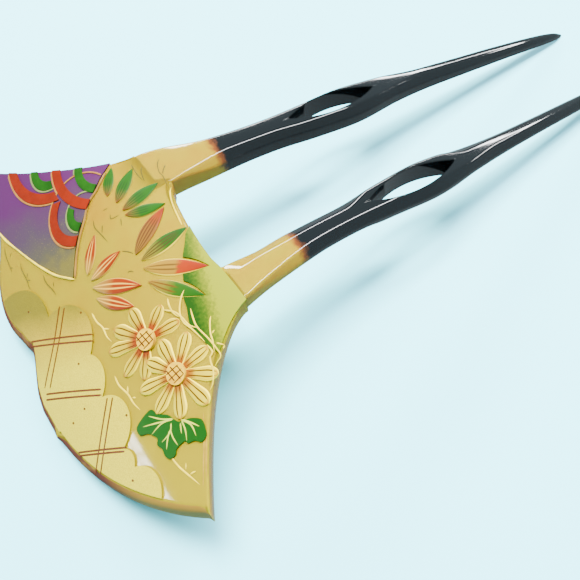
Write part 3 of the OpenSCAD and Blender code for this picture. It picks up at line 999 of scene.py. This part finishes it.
class KANZASHI_OT_leaves(bpy.types.Operator):
    """Builds the three sprays of bamboo leaves"""
    bl_idname = "kanzashi.leaves"
    bl_label = "Bamboo leaves"

    def execute(self, context):
        green = [(0.0, "#5c300c"), (0.16, "#4a3c14"), (0.4, "#163c08"), (1.0, "#0c3a02")]
        brown_orange = [(0.0, "#5c4412"), (0.55, "#5c3a0e"), (0.72, "#662a06"),
                        (1.0, "#5c1401")]
        dark_green = [(0.0, "#5e4c10"), (0.3, "#4c4c10"), (0.5, "#163a06"),
                      (1.0, "#063404")]
        pale_orange = [(0.0, "#70580c"), (0.5, "#6c500e"), (0.57, "#6c2002"),
                       (1.0, "#5c1401")]
        stripe_green = [(0.0, "#64480e"), (0.3, "#585010"), (0.5, "#1c3e08"),
                        (1.0, "#0a3404")]
        orange = [(0.0, "#6c5c1c"), (0.26, "#6c4c18"), (0.46, "#602002"), (1.0, "#601501")]
        ribs = (0.3, 0.5, 0.7)
        upper = [blade_lacquer("upper_leaf_%d" % i, green, ribs, "#122c0c", 0.05, 0.6,
                               "#6c6c28", (0.02, 0.95)) for i in range(4)]
        middle = [
            blade_lacquer("leaf_brown_orange", brown_orange, (0.22, 0.4, 0.6, 0.8), "#3a2410",
                          0.03, 0.75, "#8a6c1c", (-0.1, 0.95)),
            blade_lacquer("leaf_dark_green", dark_green, ribs, "#2c210e", 0.03, 0.8,
                          "#c4ac1c", (0.04, 0.98)),
            blade_lacquer("leaf_pale_orange", pale_orange, (0.35, 0.62), "#44300e", 0.03,
                          0.55, "#c4ac1c", (0.05, 0.96)),
            blade_lacquer("leaf_striped_green", stripe_green, (0.3, 0.62), "#442808", 0.03,
                          0.5, "#c4ac1c", (0.06, 0.98))]
        lower = [blade_lacquer("lower_leaf_%d" % i, orange, (0.36, 0.64), "#a47c2c", 0.04,
                               0.9, "#9a7a24", (0.03, 0.96)) for i in range(4)]
        for name, table, finishes, slot in (
                ("leaves_upper", UPPER, upper, "green_lacquer"),
                ("leaves_middle", MIDDLE, middle, "green_lacquer"),
                ("leaves_lower", LOWER, lower, "orange_lacquer")):
            bm = bmesh.new()
            for i, (base, tip, width, bend) in enumerate(table):
                blade(bm, base, tip, leaf_width(width, 0.46), 0.24, i, 0.01 * i, bend)
            piece = as_object(name + "_painted", bm, finishes, 60.0)
            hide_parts(name)
        return {"FINISHED"}


# Middle of each flower, with the direction in degrees and the length of its petals
FRONT = ((18.3, -15.6), [(10, 6.7), (45, 6.2), (87, 5.3), (131, 5.6), (174, 5.8), (207, 5.6),
                         (245, 6.1), (290, 5.6), (331, 6.0)])
BACK = ((10.9, -16.4), [(72, 5.3), (120, 4.9), (176, 5.8), (209, 6.4), (236, 6.6),
                        (283, 5.6), (322, 5.4)])
EYE_HATCH = [[(-1.5, -0.8), (0.9, -0.6)], [(-1.5, -0.1), (1.3, 0.2)], [(-1.0, 0.7), (1.3, 0.9)],
             [(-0.9, -1.3), (-0.6, 1.2)], [(0.0, -1.5), (0.2, 1.5)], [(0.9, -1.1), (1.0, 1.1)]]


def petal_width(length):
    def half(s):
        r = 1.5 + (length - 1.5) * s
        if r < length - 1.6:
            return 0.55 + 0.5 * (r - 1.5) / (length - 3.1)
        left = max(length - r, 0.0)
        return 1.05 * math.sqrt(max(0.0, 1 - ((1.6 - left) / 1.6) ** 2))
    return half


class KANZASHI_OT_flowers(bpy.types.Operator):
    """Builds the petals of the two chrysanthemums and dresses their hatched eyes"""
    bl_idname = "kanzashi.flowers"
    bl_label = "Chrysanthemums"

    def execute(self, context):
        back_paint = blade_lacquer(
            "back_petal", [(0.0, "#581604"), (0.2, "#6c3204"), (0.42, "#8c7602"),
                           (0.86, "#968601"), (1.0, "#784404")], (0.3, 0.7), "#301404",
            0.14, 0.93, "#ccb410", (0.06, 0.94))
        front_paint = blade_lacquer(
            "front_petal", [(0.0, "#602804"), (0.2, "#7a5204"), (0.36, "#988402"),
                            (0.88, "#a29201"), (1.0, "#885c04")], (0.3, 0.7), "#301404",
            0.1, 0.93, "#d2bc08", (0.06, 0.94))
        for name, (centre, petals), finish, lift in (
                ("flower_back", BACK, back_paint, 0.0),
                ("flower_front", FRONT, front_paint, 0.07)):
            bm = bmesh.new()
            for i, (turn, length) in enumerate(petals):
                a = math.radians(turn)
                way = Vector((math.cos(a), math.sin(a)))
                base = Vector(centre) + way * 1.3
                tip = Vector(centre) + way * length
                blade(bm, base, tip, petal_width(length), 0.24, 0, lift + 0.004 * i)
            piece = as_object(name + "_petals", bm, [finish], 60.0)
            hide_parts(name)
            eye, tree, shader = lacquer(name + "_eye_cream")
            coloured(tree, shader, ramp(tree, grown(tree, 1.5), (0.4, "#b08c06"),
                                        (0.75, "#94680c")))
            dress(name + "_eye", eye, 0.25, 3)
            bm = bmesh.new()
            for line in EYE_HATCH:
                line_of(bm, [(centre[0] + x, centre[1] + y) for x, y in line], 0.22, 0,
                        ON_EYE, 0.05, (0.05, 0.05))
            brown = plain_line(name + "_brown_hatch", "#3c2008")
            hatch = as_object(name + "_hatch", bm, [brown])
        return {"FINISHED"}


VEINS = [
    [(22.7, -19.3), (21.3, -20.7), (19.2, -22.1)], [(22.7, -19.4), (21.2, -21.5), (19.7, -23.7)],
    [(22.5, -19.5), (21.8, -21.1), (21.8, -23.1)], [(22.8, -19.8), (23.7, -20.7), (23.8, -22.5)],
    [(23.4, -20.5), (24.2, -21.5), (25.2, -22.4)], [(23.3, -20.4), (24.6, -20.7), (26.1, -20.7)],
    [(23.7, -18.5), (25.2, -18.8), (26.6, -19.5)], [(23.6, -18.5), (25.3, -17.8), (27.2, -18.1)],
    [(23.7, -18.4), (24.9, -17.7), (26.5, -16.9)], [(23.8, -18.8), (25.2, -19.5)]]


class KANZASHI_OT_leaf(bpy.types.Operator):
    """Dresses the chrysanthemum leaf and draws its veins"""
    bl_idname = "kanzashi.leaf"
    bl_label = "Chrysanthemum leaf"

    def execute(self, context):
        # Dark green side lobes, a greyer middle lobe, brushed unevenly
        mat, tree, shader = lacquer("chrysanthemum_leaf_green")
        middle = add(tree, "VectorMath", {0: place_of(tree), 1: spot(24.3, -21.2, 11.5)},
                     operation="DISTANCE").outputs["Value"]
        share = spread(tree, middle, 0.9 * MM, 2.2 * MM)
        uneven = math_of(tree, "ADD", share, centred(tree, 1.2, 0.4))
        coloured(tree, shader, ramp(tree, uneven, (0.15, "#26481a"), (0.55, "#10440a"),
                                    (1.0, "#0a3806")))
        dress("flower_leaf", mat, 0.08)
        bm = bmesh.new()
        for line in VEINS:
            line_of(bm, line, 0.24, 0, ON_PANEL, 0.06, (0.05, 0.4))
        piece = as_object("leaf_veins", bm, [plain_line("cream_vein", "#a0a430")])
        return {"FINISHED"}


TENDRILS = [
    [(0, -21), (1.8, -21.1), (3.4, -20.8), (5, -21), (6.4, -20.8)], [(3.5, -20.9), (4.5, -20.1)],
    [(10.5, -23.1), (12.2, -23.3), (14.4, -22.9), (16.1, -22.9), (17.7, -22.6)],
    [(13.4, -22.3), (14.4, -22.9)], [(15.3, -22.6), (15.8, -22.2)],
    [(9.2, -8.3), (10, -9.4), (11.5, -10.6), (13.2, -11), (15, -10.6), (17, -10.3),
     (18.2, -10.2)],
    [(9.4, -12.3), (11, -11.2), (12.6, -10.8), (14.2, -10.6), (15.8, -9.6)],
    [(12.1, -9.1), (13.6, -9.6), (15.2, -9.9), (17.7, -9.6), (19.5, -9.5), (20.9, -9.6),
     (21.3, -10.5), (21.6, -11.2)],
    [(15.2, -7.5), (16, -8.2), (17.4, -9), (18.4, -9.3), (19.9, -10)],
    [(17.3, -8.2), (17.5, -8.9)], [(19, -9.1), (20.1, -8.4)], [(20.1, -8.4), (20.4, -8.9)],
    [(18.2, -10.2), (19.7, -10.2), (20, -10.8), (20.8, -11.2), (21.9, -11.5), (23.3, -12.6),
     (23.6, -13.3)],
    [(8.5, -10.9), (9.7, -11.3), (11, -11.4), (12.1, -11.1)],
    [(25.3, -21.9), (26.4, -22.4), (27.9, -22.3), (29.2, -22), (32.1, -21.2)],
    [(28.4, -21.2), (29.1, -21.7)], [(30, -21.6), (30.3, -20.7)]]
PALE = [[(24.7, -15.4), (28, -17.6), (33.5, -21.7)], [(27.3, -16.7), (32.2, -20.2)]]
INCISED = [
    [(-13.7, 0.9), (-12.8, 0), (-11.1, -0.6), (-10.2, -0.5), (-8.1, -0.9), (-6.7, -0.9)],
    [(-12, 1), (-11, 0), (-10.2, -0.5)],
    [(-14, -2.1), (-13.2, -2.8), (-11.9, -3.2), (-10.6, -3.4)],
    [(-15.6, -3.3), (-14.7, -3.5), (-12.7, -3.6), (-10.9, -3.4)],
    [(-11.9, -13), (-10.3, -13.6), (-8.2, -13.4), (-5.5, -13.2)], [(-9.7, -12.4), (-8.3, -13.3)],
    [(-11.2, -10.2), (-11.6, -11.3)],
    [(-10.2, -10.5), (-9.3, -10.9), (-8.9, -10.1), (-8.8, -9.2)],
    [(-8.2, -9.6), (-6.7, -10.3)], [(-3.4, -12.4), (-2.2, -11.5), (-1.2, -11.1)],
    [(0.3, -13.5), (0.3, -13.1), (1.1, -12.5)],
    [(-24.2, -27.3), (-22.8, -27.9), (-20.5, -28.3), (-18.4, -28.6)],
    [(-21.9, -26.6), (-21.5, -27.7)], [(-20.4, -28.5), (-19.4, -27.9)],
    [(-18.8, -26.2), (-17.8, -26.8), (-15.2, -27), (-13.8, -27.3), (-12.5, -27)],
    [(-16, -26.1), (-15.4, -26.9)], [(-15.2, -27), (-14.3, -26.4)],
    [(-13, -24.2), (-11.3, -24.5), (-8.8, -24.2), (-7.3, -24.3)], [(-10.2, -23.4), (-9.3, -23.9)]]


class KANZASHI_OT_tendrils(bpy.types.Operator):
    """Draws the cream tendrils and the olive lines incised in the amber"""
    bl_idname = "kanzashi.tendrils"
    bl_label = "Tendrils"

    def execute(self, context):
        width = sizes().line_width / MM
        bm = bmesh.new()
        for line in TENDRILS:
            over = IN_HILL if line[0][0] > 8 and line[0][1] > -12.4 else 0.0
            line_of(bm, line, width, 0, over, 0.13, (0.1, 0.3))
        piece = as_object("cream_tendrils", bm, [plain_line("cream_tendril", "#c4ac1c")])
        bm = bmesh.new()
        for line in PALE:
            line_of(bm, line, 0.3, 0, 0.0, 0.05, (0.3, 0.4))
        for line in INCISED:
            line_of(bm, line, 0.2, 1, 0.0, 0.04, (0.15, 0.4))
        piece = as_object("drawn_lines", bm, [plain_line("faint_pale_line", "#92741a"),
                                              plain_line("olive_line", "#3c3812")])
        return {"FINISHED"}


# Stage

CAMERA_AT = Vector((58.27, -51.49, 105.33)) * MM
CAMERA_X = Vector((0.58173, 0.81227, -0.04242))
CAMERA_DOWN = Vector((0.69599, -0.52409, -0.49085))
CAMERA_AHEAD = Vector((-0.42094, 0.25602, -0.87021))
# Watts of a tube light for each metre of its width
TUBE_POWER = 120
# Where the photo's window mirrors in the plate, the width and height of one of its
# panes, and the width of the bars between them
GLARE_AT = 24.5, -27.0
PANE_WIDE, PANE_HIGH, BAR = 0.033, 0.021, 0.003


def soft_light(name, at, aim, width, height, power, along=(0, 1, 0), colour="#ffffff"):
    """A rectangular light at a place, aimed at another, its height laid along a way."""
    back = (Vector(at) - Vector(aim)).normalized()
    long_way = (Vector(along) - back * back.dot(Vector(along))).normalized()
    turn = Matrix((long_way.cross(back), long_way, back)).transposed()
    data = bpy.data.lights.new(name, "AREA")
    data.shape = "RECTANGLE"
    data.size, data.size_y = width, height
    data.energy = power
    data.color = linear(colour)
    lamp = bpy.data.objects.new(name, data)
    lamp.matrix_world = Matrix.Translation(Vector(at)) @ turn.to_4x4()
    bpy.context.scene.collection.objects.link(lamp)
    return lamp


def mirrored_way(x, y):
    """A place on the plate's face, and the way in which it mirrors the camera."""
    here, normal = on_face(x, y), face_normal(y)
    seen = (here - CAMERA_AT).normalized()
    return here, seen - 2 * seen.dot(normal) * normal


class KANZASHI_OT_stage(bpy.types.Operator):
    """Sets the pale floor, the soft studio light and the camera"""
    bl_idname = "kanzashi.stage"
    bl_label = "Stage"

    def execute(self, context):
        scene = context.scene
        bm = bmesh.new()
        bmesh.ops.create_circle(bm, cap_ends=True, segments=96, radius=3.0)
        mesh = bpy.data.meshes.new("floor")
        bm.to_mesh(mesh)
        bm.free()
        floor = bpy.data.objects.new("floor", mesh)
        floor.location = (0, 0, -0.0001)
        scene.collection.objects.link(floor)
        # Smooth coated board, with a hint of tooth
        mat, tree, shader = new_finish("pale_board", {"Roughness": 0.55, "IOR": 1.45})
        coloured(tree, shader, ramp(tree, grown(tree, 60.0), (0.3, colours().floor),
                                    (0.7, (0.163, 0.68, 0.845))))
        mesh.materials.append(mat)
        # The board lights the hairpin but doesn't mirror in its walls
        floor.visible_glossy = False
        world = bpy.data.worlds.new("studio")
        scene.world = world
        world.use_nodes = True
        sky = world.node_tree.nodes["Background"]
        sky.inputs["Color"].default_value = (0.75, 0.92, 0.98, 1.0)
        sky.inputs["Strength"].default_value = 0.6
        # The overhead softbox lights the paint without mirroring in it
        key = soft_light("key", (-0.13, 0.0, 0.72), (0, 0, 0), 0.26, 0.26,
                         sizes().key_power, colour="#fffaf2")
        key.visible_glossy = False
        # Two long tubes draw the thin bright lines along the polished ridges
        for name, at, wide in (("tube_above", (0.0, 0.38, 0.72), 0.16),
                               ("tube_left", (-0.62, 0.28, 0.36), 0.08)):
            soft_light(name, at, (0, at[1], 0.01), wide, 0.7, TUBE_POWER * wide)
        # A strip beyond the tips, for the bright lines along their ridges
        soft_light("strip_beyond", (-0.15, 0.62, 0.27), (0, 0.05, 0.01), 0.02, 0.8, 3.0,
                   (1, 0, 0))
        # Nine small panes, where the plate mirrors the photo's window
        here, way = mirrored_way(*GLARE_AT)
        middle = here + way * 0.6
        across = way.cross(Vector((0, 0, 1))).normalized()
        up = across.cross(way).normalized()
        for i in (-1, 0, 1):
            for j in (-1, 0, 1):
                at = middle + across * ((PANE_WIDE + BAR) * i) + up * ((PANE_HIGH + BAR) * j)
                soft_light("window_%d_%d" % (i, j), at, here, PANE_WIDE, PANE_HIGH, 0.12, up)
        lens = bpy.data.cameras.new("photo_camera")
        lens.lens = 41.16
        lens.sensor_width = 36.0
        lens.sensor_fit = "HORIZONTAL"
        lens.clip_start = 0.001
        camera = bpy.data.objects.new("photo_camera", lens)
        turn = Matrix((CAMERA_X, -CAMERA_DOWN, -CAMERA_AHEAD)).transposed()
        camera.matrix_world = Matrix.Translation(CAMERA_AT) @ turn.to_4x4()
        scene.collection.objects.link(camera)
        scene.camera = camera
        return {"FINISHED"}


class KANZASHI_PT_panel(bpy.types.Panel):
    """Lists the pieces of the hairpin and their sizes and colours"""
    bl_label = "Kanzashi"
    bl_idname = "KANZASHI_PT_panel"
    bl_space_type = "VIEW_3D"
    bl_region_type = "UI"
    bl_category = "Kanzashi"

    def draw(self, context):
        layout = self.layout
        for group in (context.scene.kanzashi_sizes, context.scene.kanzashi_colours):
            box = layout.box()
            for name in group.bl_rna.properties.keys():
                if name not in ("rna_type", "name"):
                    box.prop(group, name)
        for step in STEPS:
            layout.operator("kanzashi." + step)


STEPS = ("body", "waves", "cloud", "hill", "leaves", "flowers", "leaf", "tendrils", "stage")
CLASSES = (KanzashiSizes, KanzashiColours, KANZASHI_OT_body, KANZASHI_OT_waves,
           KANZASHI_OT_cloud, KANZASHI_OT_hill, KANZASHI_OT_leaves, KANZASHI_OT_flowers,
           KANZASHI_OT_leaf, KANZASHI_OT_tendrils, KANZASHI_OT_stage, KANZASHI_PT_panel)


def register():
    for cls in CLASSES:
        bpy.utils.register_class(cls)
    bpy.types.Scene.kanzashi_sizes = PointerProperty(type=KanzashiSizes)
    bpy.types.Scene.kanzashi_colours = PointerProperty(type=KanzashiColours)


def unregister():
    del bpy.types.Scene.kanzashi_colours
    del bpy.types.Scene.kanzashi_sizes
    for cls in reversed(CLASSES):
        bpy.utils.unregister_class(cls)


def main():
    register()
    for step in STEPS:
        getattr(bpy.ops.kanzashi, step)()
    bpy.context.view_layer.update()


if __name__ == "__main__":
    main()
